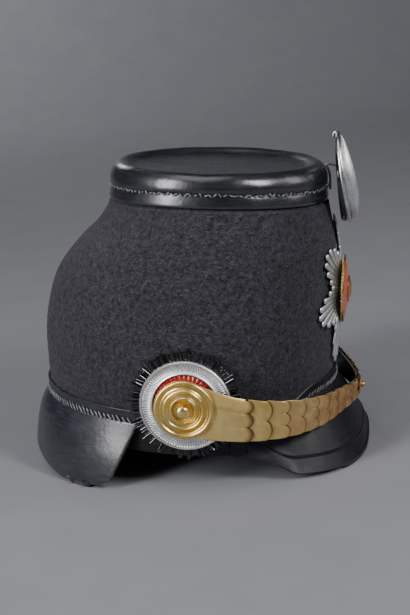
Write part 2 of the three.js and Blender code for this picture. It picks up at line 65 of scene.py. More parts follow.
CAMERA_AT = Vector((-0.8615, -0.1211, 0.353))
CAMERA_TO = Vector((0, 0, 0.108))
camera = bpy.data.objects.new("camera", bpy.data.cameras.new("camera"))
camera.data.lens = 73.93
camera.data.sensor_width = 36
camera_turn = (CAMERA_TO - CAMERA_AT).to_track_quat("-Z", "Y").to_matrix().to_4x4()
camera.matrix_world = hat_turn @ Matrix.Translation(CAMERA_AT) @ camera_turn
bpy.context.scene.collection.objects.link(camera)
bpy.context.scene.camera = camera


def linear(code):
    """The linear colour of an sRGB hex value."""
    parts = [int(code[i : i + 2], 16) / 255 for i in (0, 2, 4)]
    return [p / 12.92 if p <= 0.04045 else ((p + 0.055) / 1.055) ** 2.4 for p in parts] + [1]


def add_node(material, kind, settings, links=()):
    """Adds a node. A capital or a number names an input; a small letter names a property."""
    made = material.node_tree.nodes.new(kind)
    for name, value in settings.items():
        if name == "stops":
            for element, (place, colour) in zip(made.color_ramp.elements, value):
                element.position = place
                element.color = colour
        elif isinstance(name, int) or name[0].isupper():
            made.inputs[name].default_value = value
        else:
            setattr(made, name, value)
    for name, source in dict(links).items():
        material.node_tree.links.new(made.inputs[name], source)
    return made


def new_material(name):
    """A bare material, with its Principled shader and the object's coordinates."""
    material = bpy.data.materials.new(name)
    material.use_nodes = True
    shader = material.node_tree.nodes["Principled BSDF"]
    place = add_node(material, "ShaderNodeTexCoord", {}).outputs["Object"]
    return material, shader, place


def wire_to(material, shader, name, value):
    """Feeds a value into one of the shader's inputs."""
    material.node_tree.links.new(shader.inputs[name], value)


def mixed(material, factor, first, second):
    """The output of a mix of two colours, each a hex value or a socket."""
    mix = add_node(material, "ShaderNodeMix", {"data_type": "RGBA"}, {0: factor})
    for index, colour in ((6, first), (7, second)):
        if isinstance(colour, str):
            mix.inputs[index].default_value = linear(colour)
        else:
            material.node_tree.links.new(mix.inputs[index], colour)
    return mix.outputs[2]


def cloudy(material, place, millimetres, low, high, detail=4):
    """Noise of about that size, stretched so that it runs from 0 to 1 between low and high."""
    settings = {"Scale": 1000 / millimetres, "Detail": detail, "Roughness": 0.6}
    grain = add_node(material, "ShaderNodeTexNoise", settings, {"Vector": place})
    spread = {"From Min": low, "From Max": high}
    return add_node(material, "ShaderNodeMapRange", spread, {"Value": grain.outputs[0]}).outputs[0]


def ranged(material, value, low, high):
    """A value from 0 to 1, stretched to lie between low and high."""
    spread = {"To Min": low, "To Max": high}
    return add_node(material, "ShaderNodeMapRange", spread, {"Value": value}).outputs[0]


def bumped(material, shader, height, millimetres, strength=1.0, under=None):
    """Raises the surface by a pattern, over another one if given."""
    links = {"Height": height}
    if under:
        links["Normal"] = under
    settings = {"Distance": millimetres * MM, "Strength": strength}
    normal = add_node(material, "ShaderNodeBump", settings, links).outputs[0]
    wire_to(material, shader, "Normal", normal)
    return normal


# A seamless sheet of pale grey paper: a flat floor that curves up far behind the hat.
def paper():
    material, shader, place = new_material("matt_grey_paper")
    tone = cloudy(material, place, 60, 0.3, 0.7)
    colour = mixed(material, tone, "828389", "87888d")
    wire_to(material, shader, "Base Color", colour)
    shader.inputs["Roughness"].default_value = 0.9
    return material


FLOOR_REACH = 4.0
BACK_AT = 2.6
BACK_CURVE = 0.9
BACK_STEPS = 16
paper_mesh = bmesh.new()
profile = [(-FLOOR_REACH, 0)]
for step in range(BACK_STEPS + 1):
    turn = math.pi / 2 * step / BACK_STEPS
    along = BACK_AT - BACK_CURVE + BACK_CURVE * math.sin(turn)
    profile.append((along, BACK_CURVE * (1 - math.cos(turn))))
profile.append((BACK_AT, FLOOR_REACH))
corners = [paper_mesh.verts.new((x, -FLOOR_REACH, z)) for x, z in profile]
edges = [paper_mesh.edges.new(pair) for pair in zip(corners, corners[1:])]
grown = bmesh.ops.extrude_edge_only(paper_mesh, edges=edges)
moved = [item for item in grown["geom"] if isinstance(item, bmesh.types.BMVert)]
bmesh.ops.translate(paper_mesh, vec=(0, 2 * FLOOR_REACH, 0), verts=moved)
bmesh.ops.recalc_face_normals(paper_mesh, faces=paper_mesh.faces)
floor_data = bpy.data.meshes.new("floor")
paper_mesh.to_mesh(floor_data)
paper_mesh.free()
for polygon in floor_data.polygons:
    polygon.use_smooth = True
floor = bpy.data.objects.new("floor", floor_data)
floor_data.materials.append(paper())
bpy.context.scene.collection.objects.link(floor)


def soft_box(name, bearing, rise, distance, wide, tall, watts, aim=(0, 0, 0.1)):
    """A soft light: bearing from +X round towards +Y and rise, in degrees, from what it lights."""
    light = bpy.data.lights.new(name, "AREA")
    light.shape = "RECTANGLE"
    light.size = wide
    light.size_y = tall
    light.energy = watts
    flat = math.cos(math.radians(rise)) * distance
    turn = math.radians(bearing)
    height = math.sin(math.radians(rise)) * distance
    at = Vector(aim) + Vector((flat * math.cos(turn), flat * math.sin(turn), height))
    made = bpy.data.objects.new(name, light)
    facing = (Vector(aim) - at).to_track_quat("-Z", "Y").to_matrix().to_4x4()
    made.matrix_world = Matrix.Translation(at) @ facing
    bpy.context.scene.collection.objects.link(made)


soft_box("left_box", 136, 25, 1.5, 0.32, 1.2, 22)
soft_box("right_box", 232, 36, 1.5, 0.22, 0.5, 12)
soft_box("top_box", 150, 74, 1.8, 1.0, 1.0, 6)
soft_box("front_box", 268, 24, 1.3, 0.4, 0.6, 3)
soft_box("backdrop_box", 110, 60, 1.3, 0.5, 0.5, 11, (2.25, 0.7, 0.25))
world = bpy.data.worlds.new("studio")
world.use_nodes = True
world.node_tree.nodes["Background"].inputs[0].default_value = linear("bcbdc2")
world.node_tree.nodes["Background"].inputs[1].default_value = 0.17
bpy.context.scene.world = world

# ---- felt body ----
# A bell of black wool felt, blocked and stiffened with shellac, its nap brushed up so that pale
# hairs lie about on it. The top is drawn in under the crown's skirt, and the foot is bound below.

FELT_WALL = 2.6
FELT_FOOT = 47.4
FELT_SHOULDER = 187
FELT_TOP = 205
CROWN_TUCK = 3.5
HEM_LIFT = 3
NAP = 0.5
NAP_SIZE = 1.9
DENT = 0.5
DENT_SIZE = 26
BODY_OUTLINE = [
    (28, 89, 107, 84, 0),
    (50, 92, 111, 87, 0),
    (75, 92.7, 113.6, 89, 0),
    (105, 92.5, 113.3, 89, 0),
    (130, 92, 107.5, 86.5, 0),
    (145, 91.7, 99.5, 83.5, 1.5),
    (160, 91.2, 87.5, 79.5, 4),
    (172, 89.5, 75, 75, 7),
    (181, 87.6, 69, 70.8, 9),
    (187, 86.4, 66.8, 68.2, 9.6),
    (205, 85.6, 66.3, 67, 9.65),
]


def smoothstep(value, low, high):
    share = min(max((value - low) / (high - low), 0), 1)
    return share * share * (3 - 2 * share)


def mixed_number(first, second, share):
    return first + (second - first) * share


def read_table(rows, place):
    """Reads rows of numbers, by the first of each, as one smooth curve per column."""
    place = min(max(place, rows[0][0]), rows[-1][0])
    last = len(rows) - 2
    i = next(k for k in range(last + 1) if place <= rows[k + 1][0] or k == last)
    before, low, high, after = rows[max(i - 1, 0)], rows[i], rows[i + 1], rows[min(i + 2, last + 1)]
    gap = high[0] - low[0]
    t = (place - low[0]) / gap
    result = []
    for k in range(1, len(low)):
        slope_low = (high[k] - before[k]) / (high[0] - before[0]) * gap
        slope_high = (after[k] - low[k]) / (after[0] - low[0]) * gap
        rise = high[k] - low[k]
        curve = (slope_low + slope_high - 2 * rise) * t + 3 * rise - 2 * slope_low - slope_high
        result.append(low[k] + slope_low * t + curve * t * t)
    return result


def around_body(angle, height, out):
    """A place on the body: the angle runs from the front towards the wearer's right."""
    front, back, half, widest = read_table(BODY_OUTLINE, height)
    reach = front - widest if math.cos(angle) > 0 else back + widest
    return Vector(
        (-(half + out) * math.sin(angle), -(widest + (reach + out) * math.cos(angle)), height)
    )


def hem_lift(angle, height):
    """How far the crown's hem is raised at the sides of the hat."""
    share = smoothstep(height, FELT_SHOULDER - 12, FELT_SHOULDER) * smoothstep(-height, -208, -200)
    return HEM_LIFT * share * math.sin(angle) ** 2


def turned(section, steps, place):
    """Spins a section of radius and height, then sets each vertex by angle, radius and height."""
    mesh = bmesh.new()
    line = [mesh.verts.new((radius, 0, height)) for radius, height in section]
    sides = [mesh.edges.new(pair) for pair in zip(line, line[1:])]
    spin = {"axis": (0, 0, 1), "cent": (0, 0, 0), "steps": steps, "angle": 2 * math.pi}
    bmesh.ops.spin(mesh, geom=line + sides, use_merge=True, **spin)
    bmesh.ops.remove_doubles(mesh, verts=mesh.verts, dist=0.0005)
    for vert in mesh.verts:
        x, y, height = vert.co
        vert.co = place(math.atan2(y, x), math.hypot(x, y), height)
    bmesh.ops.recalc_face_normals(mesh, faces=mesh.faces)
    return mesh


def add_piece(name, mesh, materials, replaced=()):
    """Makes a mesh in the hat's millimetres a piece of the hat, in its place."""
    bmesh.ops.transform(mesh, matrix=hat_place, verts=mesh.verts)
    data = bpy.data.meshes.new(name)
    mesh.to_mesh(data)
    mesh.free()
    for material in materials:
        data.materials.append(material)
    for polygon in data.polygons:
        polygon.use_smooth = True
    data.set_sharp_from_angle(angle=math.radians(42))
    piece = bpy.data.objects.new(name, data)
    bpy.context.scene.collection.objects.link(piece)
    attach(piece, "root")
    if replaced:
        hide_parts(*replaced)
    return piece


def wool_felt():
    """Black wool felt: matt, with a mottled nap and single paler hairs a few mm long."""
    material, shader, place = new_material("black_wool_felt")
    tufts = cloudy(material, place, 3.2, 0.35, 0.68, 5)
    colour = mixed(material, tufts, "1b1a1f", "3a3940")
    normal = None
    for turn in ((0.5, 0.2, 0), (1.3, 0.3, 0.1), (2.3, 0.1, 0.2), (1.9, 0.9, 0.4)):
        # Each set of hairs runs its own way: noise drawn out to eight times its width.
        settings = {"vector_type": "TEXTURE", "Rotation": turn, "Scale": (1, 1, 8)}
        laid = add_node(material, "ShaderNodeMapping", settings, {"Vector": place}).outputs[0]
        hairs = cloudy(material, laid, 0.75, 0.6, 0.74, 2)
        colour = mixed(material, ranged(material, hairs, 0, 0.55), colour, "66656c")
        normal = bumped(material, shader, hairs, 0.25, 0.5, normal)
    bumped(material, shader, cloudy(material, place, 1.4, 0.3, 0.7, 3), 0.6, 0.8, normal)
    wire_to(material, shader, "Base Color", colour)
    shader.inputs["Roughness"].default_value = 0.96
    shader.inputs["Sheen Weight"].default_value = 0.35
    shader.inputs["Sheen Roughness"].default_value = 0.55
    shader.inputs["Sheen Tint"].default_value = linear("8a8990")
    shader.inputs["Specular IOR Level"].default_value = 0.15
    return material


def felt_place(angle, radius, height):
    out = radius - 100
    spot = around_body(angle, height, out)
    spot.z += hem_lift(angle, height)
    if out > -0.1:
        fade = smoothstep(-height, -185, -178)
        rough = NAP * abs(noise.noise(spot / NAP_SIZE)) + DENT * noise.noise(spot / DENT_SIZE)
        spot += Vector((-math.sin(angle), -math.cos(angle), 0)) * rough * fade
    return spot


felt = wool_felt()
WALL_STEP = 1.35
wall_rows = int((FELT_SHOULDER - FELT_FOOT) / WALL_STEP)
rise = (FELT_SHOULDER - FELT_FOOT) / wall_rows
felt_section = [(100, FELT_FOOT + rise * i) for i in range(wall_rows + 1)]
TUCKED = 100 - CROWN_TUCK
TUCK_START = FELT_SHOULDER + 2.4
felt_section += [(TUCKED, TUCK_START), (TUCKED, FELT_TOP)]
felt_section += [(TUCKED - FELT_WALL, FELT_TOP), (TUCKED - FELT_WALL, TUCK_START)]
INSIDE_HEIGHTS = (187, 180, 172, 165, 158, 150, 142, 132, 122, 106, 92, 70)
felt_section += [(100 - FELT_WALL, height) for height in INSIDE_HEIGHTS]
felt_section += [(100 - FELT_WALL, FELT_FOOT), (100, FELT_FOOT)]
add_piece("felt_body", turned(felt_section, 400, felt_place), [felt], ["body_felt"])

# ---- leather foot band ----
# A band of thin black leather sewn round the foot of the felt, just under the peaks' seams.


def black_leather(name, dark, light, gloss, grain, scuff, mirror=0.5, coat=0.25):
    """Blackened cowhide, oiled and polished: a fine grain, and a gloss that wears in patches."""
    material, shader, place = new_material(name)
    patches = cloudy(material, place, 22, 0.3, 0.7, 5)
    pores = cloudy(material, place, 0.7, 0.3, 0.7, 3)
    settings = {"vector_type": "TEXTURE", "Rotation": (0.05, 0.04, 0), "Scale": (18, 18, 1)}
    brushed = add_node(material, "ShaderNodeMapping", settings, {"Vector": place}).outputs[0]
    strokes = cloudy(material, brushed, 0.9, 0.5, 0.8, 3)
    colour = mixed(material, patches, dark, light)
    colour = mixed(material, ranged(material, strokes, 0, scuff), colour, "6a6c7c")
    wire_to(material, shader, "Base Color", colour)
    rough = ranged(material, patches, gloss - 0.06, gloss + 0.08)
    wire_to(material, shader, "Roughness", rough)
    under = bumped(material, shader, pores, 0.06, grain)
    bumped(material, shader, cloudy(material, place, 7, 0.3, 0.7, 2), 0.25, 0.35, under)
    shader.inputs["Specular IOR Level"].default_value = mirror
    shader.inputs["Coat Weight"].default_value = coat
    shader.inputs["Coat Roughness"].default_value = 0.25
    return material


BAND_FOOT = 28.5
BAND_TOP = 47
band_leather = black_leather("foot_band_leather", "0f0f12", "18181c", 0.5, 0.5, 0.15, 0.3, 0.0)
BAND_INSIDE = 97.4
band_section = [(100, BAND_FOOT), (100.3, 38), (100, BAND_TOP)]
band_section += [(BAND_INSIDE, BAND_TOP), (BAND_INSIDE, BAND_FOOT), (100, BAND_FOOT)]


def band_place(angle, radius, height):
    return around_body(angle, height, radius - 100)


band = turned(band_section, 160, band_place)
add_piece("foot_band", band, [band_leather], ["base_band"])

# ---- leather crown ----
# An oval cap of black leather: a sunken top, a soft rolled rim and a skirt. A seam of black waxed
# thread runs round the skirt and holds a narrow strip below it, whose edge has worn bright.

CROWN_FRONT = 85.6
CROWN_BACK = 66.3
CROWN_HALF = 67
CROWN_SECTION = [
    (76, 208),
    (17, 208.4),
    (13, 211.4),
    (6.4, 211.6),
    (2.8, 206),
    (2.2, 190.4),
    (0.9, 189.7),
    (-0.3, 190.2),
    (-0.4, 191.4),
    (0.1, 194.4),
    (0.8, 197.2),
    (1.5, 198.4),
    (1.5, 199.2),
    (0.3, 200.4),
    (0.2, 205),
    (1.2, 209.2),
    (3.2, 212.2),
    (6, 214.3),
    (8.6, 215),
    (11, 214.6),
    (13.4, 213),
    (15.6, 211.2),
    (19, 210.6),
    (40, 210.2),
    (76, 210.3),
]
crown_length = (CROWN_FRONT + CROWN_BACK) / 2
crown_middle = (CROWN_FRONT - CROWN_BACK) / 2


def crown_place(angle, radius, height):
    share = radius / crown_length
    lift = hem_lift(angle, height) if radius > crown_length - 6 else 0
    spot = Vector(
        (
            -CROWN_HALF * share * math.sin(angle),
            -(crown_middle + crown_length * share * math.cos(angle)),
            height + lift,
        )
    )
    if radius > 4 and height > 209:
        spot.z += 0.5 * noise.noise(spot / 24)
    return spot


crown_leather = black_leather(
    "polished_crown_leather", "131318", "1d1e24", 0.25, 0.55, 0.14, 0.8, 0.45
)
crown_line = [(max(crown_length - inset, 0), height) for inset, height in CROWN_SECTION]
crown = turned(crown_line, 96, crown_place)
crown_piece = add_piece("leather_crown", crown, [crown_leather], ["crown"])
smoother = crown_piece.modifiers.new("smooth", "SUBSURF")
smoother.levels = 1
smoother.render_levels = 1


def waxed_thread():
    """Black linen thread drawn through beeswax: dark, with painted glints along its twist."""
    material, shader, place = new_material("black_waxed_thread")
    twist_and_glint = cloudy(material, place, 0.8, 0.35, 0.65, 2)
    # The pale tone is a painted glint along the twist; the same noise also bumps the thread.
    colour = mixed(material, twist_and_glint, "26262b", "96969f")
    wire_to(material, shader, "Base Color", colour)
    bumped(material, shader, twist_and_glint, 0.15, 0.6)
    shader.inputs["Roughness"].default_value = 0.38
    return material


def add_stitch(mesh, middle, along, outward, length, thick):
    """One stitch: a long bead of thread lying on the leather."""
    across = along.cross(outward).normalized()
    turn = Matrix((across, outward, along)).transposed().to_4x4()
    size = Matrix.Diagonal((thick, thick * 0.8, length / 2, 1))
    spot = Matrix.Translation(middle) @ turn @ size
    bmesh.ops.create_uvsphere(mesh, u_segments=6, v_segments=5, radius=1, matrix=spot)


thread = waxed_thread()
luck = random.Random(7)
STITCH_PITCH = 3.1
CROWN_SEAM = 198.8
crown_stitches = bmesh.new()
crown_round = math.pi * (crown_length + CROWN_HALF)
crown_count = int(crown_round / STITCH_PITCH)
for i in range(crown_count):
    angle = 2 * math.pi * (i + luck.uniform(-0.2, 0.2)) / crown_count
    middle = crown_place(angle, crown_length - 0.1, CROWN_SEAM + luck.uniform(-0.3, 0.3))
    outward = Vector((-math.sin(angle), -math.cos(angle), 0))
    side = outward.cross(Vector((0, 0, 1)))
    slant = math.radians(luck.uniform(15, 65) * (1 if i % 2 else -0.7))
    along = (side * math.cos(slant) + Vector((0, 0, 1)) * math.sin(slant)).normalized()
    length = luck.uniform(2.2, 3.8)
    add_stitch(crown_stitches, middle, along, outward, length, luck.uniform(0.45, 0.65))
add_piece("crown_stitches", crown_stitches, [thread])

# ---- front peak ----
# Stout black leather, blocked to a blunt oval and sewn on under a narrow strip. A raised line runs
# a finger's width inside its rim, and a small leather tab covers each end of the seam.

SEAM_ANGLE = math.radians(64.5)
SEAM_FLAT = math.radians(28)
SEAM_HEIGHT = 61
SEAM_FALL = 24
PEAK_THICK = 2.4
LINE_INSET = 12
LINE_RISE = 0.8
LINE_WIDE = 0.6


def on_table(spot):
    """Keeps a peak's outer face one wall above the table, where its inner edge rests."""
    spot.z = max(spot.z, TABLE_SLOPE * (TABLE_CROSSING - spot.y) + PEAK_THICK)
    return spot


def sheet_mesh(columns, rows, surface, dirt_and_shadow=None):
    """A grid laid on a surface given for u from -1 to 1 and v from 0 to 1.
    The last argument gives how dark each place is, grime and painted shade, as a mesh attribute."""
    mesh = bmesh.new()
    layer = mesh.verts.layers.float.new("grime") if dirt_and_shadow else None
    bmesh.ops.create_grid(mesh, x_segments=columns, y_segments=rows, size=1)
    for vert in mesh.verts:
        u, v = vert.co.x, (vert.co.y + 1) / 2
        vert.co = surface(u, v)
        if dirt_and_shadow:
            vert[layer] = dirt_and_shadow(u, v)
    return mesh


def lifted(surface, out):
    """The surface moved out along its own normal by a number or a function of u and v."""
    step = 0.004

    def place(u, v):
        near_u = min(max(u, -1 + step), 1 - step)
        near_v = min(max(v, step), 1 - step)
        along = surface(near_u + step, near_v) - surface(near_u - step, near_v)
        across = surface(near_u, near_v + step) - surface(near_u, near_v - step)
        reach = out(u, v) if callable(out) else out
        return surface(u, v) + along.cross(across).normalized() * reach

    return place


def give_wall(piece, millimetres, edge, rim=0, back=0):
    """Thickens a sheet inwards and rounds its cut edge."""
    wall = piece.modifiers.new("wall", "SOLIDIFY")
    wall.thickness = millimetres * MM
    wall.offset = -1
    wall.material_offset = back
    wall.material_offset_rim = rim
    round_edge = piece.modifiers.new("edge", "BEVEL")
    round_edge.width = edge * MM
    round_edge.segments = 2
    round_edge.limit_method = "ANGLE"
    round_edge.angle_limit = math.radians(50)


def front_seam(angle):
    return SEAM_HEIGHT - SEAM_FALL * smoothstep(abs(angle), SEAM_FLAT, SEAM_ANGLE)


def front_edge(u):
    turn = math.radians(89) * u
    power = 2 / 2.8
    side = 85 * math.copysign(abs(math.sin(turn)) ** power, turn)
    ahead = 38 + 79.3 * math.cos(turn) ** power
    return Vector((-side, -ahead, 18.2 + 11 * smoothstep(abs(u), 0.78, 1)))


def front_peak(u, v):
    angle = SEAM_ANGLE * u
    spot = around_body(angle, front_seam(angle), 0.4).lerp(front_edge(u), v)
    spot.y -= 2 * math.sin(math.pi * v) * math.cos(math.pi / 2 * u)
    return spot


def front_peak_rise(u, v):
    angle = SEAM_ANGLE * u
    length = (front_edge(u) - around_body(angle, front_seam(angle), 0.4)).length
    from_line = (1 - v) * length - min(LINE_INSET, length * 0.7)
    return PEAK_THICK + LINE_RISE * math.exp(-((from_line / LINE_WIDE) ** 2))


def raw_edge(name, colour):
    """The cut edge of leather, browned where the black dye has rubbed off."""
    material, shader, place = new_material(name)
    tone = cloudy(material, place, 3, 0.3, 0.7, 4)
    wire_to(material, shader, "Base Color", mixed(material, tone, "1d1a1a", colour))
    bumped(material, shader, tone, 0.2, 0.6)
    shader.inputs["Roughness"].default_value = 0.6
    return material


peak_leather = black_leather("blocked_peak_leather", "0e0e12", "17171c", 0.46, 0.6, 0.12, 0.3, 0.0)
peak_edge = raw_edge("peak_cut_edge", "3a3434")


def front_peak_place(u, v):
    return on_table(lifted(front_peak, front_peak_rise)(u, v))


front_mesh = sheet_mesh(150, 120, front_peak_place)
front_piece = add_piece(
    "front_peak", front_mesh, [peak_leather, peak_edge], ["front_visor"]
)
give_wall(front_piece, PEAK_THICK, 0.5, rim=1)


def front_strip(u, v):
    angle = SEAM_ANGLE * u
    ridge = 0.5 * math.exp(-(((v - 0.93) / 0.06) ** 2))
    spot = around_body(angle, front_seam(angle) + PEAK_THICK + v * 8, 2.0 + ridge)
    return spot


strip_leather = black_leather("seam_strip_leather", "15151a", "222228", 0.42, 0.5, 0.2)
# The grid's outward side is turned round, because the strip rises where the peak falls.
strip_mesh = sheet_mesh(120, 14, lambda u, v: front_strip(-u, v))
strip_piece = add_piece(
    "front_seam_strip", strip_mesh, [strip_leather], ["front_strip"]
)
give_wall(strip_piece, 1.6, 0.3)


def seam_stitches(name, start, stop, pitch, centre, slant, length):
    """Slanted stitches along a seam: centre gives a place for an angle round the body."""
    mesh = bmesh.new()
    angle = start
    while angle < stop:
        middle = centre(angle)
        outward = Vector((-math.sin(angle), -math.cos(angle), 0))
        side = outward.cross(Vector((0, 0, 1)))
        lean_by = math.radians(slant + luck.uniform(-9, 9))
        along = (side * math.cos(lean_by) + Vector((0, 0, 1)) * math.sin(lean_by)).normalized()
        add_stitch(mesh, middle, along, outward, length * luck.uniform(0.8, 1.25), 0.75)
        angle += pitch / 95 * luck.uniform(0.9, 1.1)
    add_piece(name, mesh, [thread])


seam_stitches(
    "front_seam_stitches",
    -SEAM_ANGLE * 0.97,
    SEAM_ANGLE * 0.97,
    3.4,
    lambda angle: around_body(angle, front_seam(angle) + 3.6, 2.5),
    -58,
    4.4,
)

# The tabs are the plain cut pieces themselves, with a softened edge.
for side_name in ("left", "right"):
    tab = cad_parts["corner_tab_" + side_name]
    tab.data.materials.clear()
    tab.data.materials.append(peak_leather)
    tab_edge = tab.modifiers.new("edge", "BEVEL")
    tab_edge.width = 0.3 * MM
    tab_edge.segments = 2

# ---- rear peak ----
# The larger peak, blocked to the back of the head and brushed to a high polish. Its two straight
# sides show a browned cut edge, and slanted waxed stitches hold it under its own narrow strip.

REAR_SEAM = 49
REAR_FOOT = -1.2
REAR_CORNER_LIFT = 9
REAR_BACK_LIFT = 12
REAR_OUTLINE = [
    (0, 121.5, 95),
    (8, 121.9, 95),
    (16, 121.5, 94.3),
    (24, 120.5, 93),
    (32, 119.1, 91),
    (40, 116.7, 89),
    (49, 111.4, 87.3),
]


def rear_peak(u, v):
    foot = REAR_FOOT + REAR_CORNER_LIFT * smoothstep(abs(u), 0.9, 1)
    foot += REAR_BACK_LIFT * (1 - smoothstep(abs(u), 0.1, 0.8))
    height = foot + (REAR_SEAM - foot) * v
    back, half = read_table(REAR_OUTLINE, height)
    side = mixed_number(56, 33, height / REAR_SEAM)
    angle = math.pi - u * math.acos(side / back)
    return Vector((-half * math.sin(angle), -back * math.cos(angle), height))


rear_leather = black_leather("polished_rear_leather", "0c0d16", "171927", 0.33, 0.4, 0.2, 0.8, 0.4)
brown_edge = raw_edge("rear_cut_edge", "6b5647")
rear_mesh = sheet_mesh(150, 50, lambda u, v: on_table(lifted(rear_peak, PEAK_THICK)(u, v)))
rear_piece = add_piece(
    "rear_peak", rear_mesh, [rear_leather, brown_edge], ["rear_visor"]
)
give_wall(rear_piece, PEAK_THICK, 0.4, rim=1)

rear_half_turn = math.pi - math.acos(-33 / 111.4)


def rear_strip(u, v):
    ridge = 0.5 * math.exp(-(((v - 0.94) / 0.05) ** 2))
    return around_body(math.pi - u * rear_half_turn, REAR_SEAM + 1.6 + v * 8, 2.0 + ridge)


rear_strip_mesh = sheet_mesh(120, 14, rear_strip)
rear_strip_piece = add_piece(
    "rear_seam_strip", rear_strip_mesh, [strip_leather], ["rear_strip"]
)
give_wall(rear_strip_piece, 1.6, 0.3)
seam_stitches(
    "rear_seam_stitches",
    math.pi - rear_half_turn * 0.96,
    math.pi + rear_half_turn * 0.96,
    3.3,
    lambda angle: around_body(angle, REAR_SEAM + 2.4, 2.9),
    52,
    5.8,
)

# ---- guard star and medallion ----
# A six-armed star struck in silver-plated sheet as a fan of round rays, domed to the hat's front.
# At its middle a gilt-rimmed disc of red enamel is held by a plain gilt boss.

STAR_HEIGHT = 126
STAR_TURN = math.radians(-14)
STAR_RAYS = 48
STAR_GAP = 1.0
RAY_FAN = 0.068
RAY_WIDEST = 2.1
MEDAL_RADIUS = 23.3
MEDAL_AHEAD = 97.6


def silver(name, dark, light, gloss, size):
    """Silver plate on brass: bright on the high places, greyed by tarnish in the hollows."""
    material, shader, place = new_material(name)
    tarnish = cloudy(material, place, size, 0.3, 0.7, 5)
    wire_to(material, shader, "Base Color", mixed(material, tarnish, dark, light))
    rough = ranged(material, tarnish, gloss + 0.1, gloss)
    wire_to(material, shader, "Roughness", rough)
    bumped(material, shader, cloudy(material, place, 0.8, 0.3, 0.7, 3), 0.05, 0.5)
    shader.inputs["Metallic"].default_value = 1
    return material


def star_place(across, up, out):
    distance = math.hypot(across, up)
    dome = 2.4 * (1 - smoothstep(distance, MEDAL_RADIUS * 0.7, 52))
    front, _, half, widest = read_table(BODY_OUTLINE, STAR_HEIGHT + up)
    ahead = widest + (front - widest) * math.sqrt(1 - (across / half) ** 2)
    return Vector((across, -(ahead + STAR_GAP + dome + out), STAR_HEIGHT + up))


def ray_reach(angle):
    arm = mixed_number(43, 52, math.cos(angle) ** 4)
    return mixed_number(28, arm, abs(math.cos(3 * angle)) ** 1.6)


star_silver = silver("struck_silver_plate", "c9cacc", "f8f8f9", 0.38, 5)
star_mesh = bmesh.new()
for ray in range(STAR_RAYS):
    angle = 2 * math.pi * ray / STAR_RAYS
    reach = ray_reach(angle) - 2
    made = bmesh.ops.create_uvsphere(star_mesh, u_segments=10, v_segments=8, radius=1)
    for vert in made["verts"]:
        x, y, z = vert.co
        along = 14 + z * 2 if z < 0 else reach + z * 2
        across = x * min(along * RAY_FAN, RAY_WIDEST)
        turn = angle + STAR_TURN
        flat = Vector((-math.sin(turn), math.cos(turn))) * along
        flat += Vector((math.cos(turn), math.sin(turn))) * across
        vert.co = star_place(flat.x, flat.y, 1.0 + y * 1.0)
bmesh.ops.recalc_face_normals(star_mesh, faces=star_mesh.faces)
add_piece("guard_star", star_mesh, [star_silver], ["star_plate"])


def facing_ahead(section, steps):
    """A turned solid that faces straight ahead from the middle of the star."""
    return turned(
        section,
        steps,
        lambda angle, radius, height: Vector(
            (
                radius * math.sin(angle),
                -(MEDAL_AHEAD + height),
                STAR_HEIGHT + radius * math.cos(angle),
            )
        ),
    )


def gilt(name, dark, light, gloss, size, copper=None, grimy_and_shaded=False):
    """Fire-gilt brass: warm gold, with browner patches and, towards the front, bare copper."""
    material, shader, place = new_material(name)
    age = cloudy(material, place, size, 0.3, 0.7, 5)
    colour = mixed(material, age, light, dark)
    if copper:
        split = add_node(material, "ShaderNodeSeparateXYZ", {}, {"Vector": place})
        spread = {"From Min": -0.055, "From Max": -0.105}
        depth = {"Value": split.outputs[1]}
        ahead = add_node(material, "ShaderNodeMapRange", spread, depth).outputs[0]
        patch = cloudy(material, place, 9, 0.25, 0.6, 3)
        both = add_node(material, "ShaderNodeMath", {"operation": "MULTIPLY"}, {0: ahead, 1: patch})
        colour = mixed(material, both.outputs[0], colour, copper)
    # A dark line at each plate's lobed end, and grime with painted shadow just past the lobes of a
    # lapping plate, read from a mesh attribute.
    if grimy_and_shaded:
        kept = add_node(material, "ShaderNodeAttribute", {"attribute_name": "grime"})
        colour = mixed(material, kept.outputs["Fac"], colour, "4a331c")
    wire_to(material, shader, "Base Color", colour)
    rough = ranged(material, age, gloss, gloss + 0.14)
    wire_to(material, shader, "Roughness", rough)
    bumped(material, shader, cloudy(material, place, 1.2, 0.3, 0.7, 3), 0.04, 0.4)
    shader.inputs["Metallic"].default_value = 1
    return material


def red_glass(name, dark, light):
    """Red enamel fired over ribbed metal: clear red glass, deeper in the grooves."""
    material, shader, place = new_material(name)
    depth = cloudy(material, place, 2.5, 0.3, 0.7, 4)
    wire_to(material, shader, "Base Color", mixed(material, depth, dark, light))
    wire_to(material, shader, "Roughness", ranged(material, depth, 0.2, 0.36))
    bumped(material, shader, depth, 0.05, 0.3)
    shader.inputs["Coat Weight"].default_value = 0.5
    shader.inputs["Coat Roughness"].default_value = 0.08
    return material


bright_gilt = gilt("burnished_gilt", "cfa455", "f6dc9c", 0.2, 6)
enamel = red_glass("red_enamel", "b3291b", "e85a38")
disc = facing_ahead([(0, 0), (21.9, 0), (21.9, 1.4), (17.6, 2.7), (10.6, 3.6), (0, 3.6)], 96)
add_piece("medallion_enamel", disc, [enamel], ["medallion_disc"])
rim_line = [(0, -0.5), (23.1, -0.5), (23.7, 0.3), (23.6, 1.2)]
rim_line += [(23, 1.6), (22.2, 1.2), (22.2, -0.1), (0, -0.1)]
medal_rim = facing_ahead(rim_line, 96)
add_piece("medallion_gilt_rim", medal_rim, [bright_gilt], ["medallion_rim"])
boss_line = [(0, 3.8), (9.2, 3.8), (9.4, 4.3), (8.8, 4.8), (7.8, 4.5)]
boss_line += [(6.8, 4.9), (5, 5.7), (3, 6.1), (0, 6.2)]
boss = facing_ahead(boss_line, 64)
add_piece("medallion_boss_gilt", boss, [bright_gilt], ["medallion_boss"])

# ---- field badge ----
# An oval badge that stands above the crown's front edge: a dark back, a bright wire rim, and a
# swollen silver face ribbed lengthways. A steel wire hooks it over the crown.

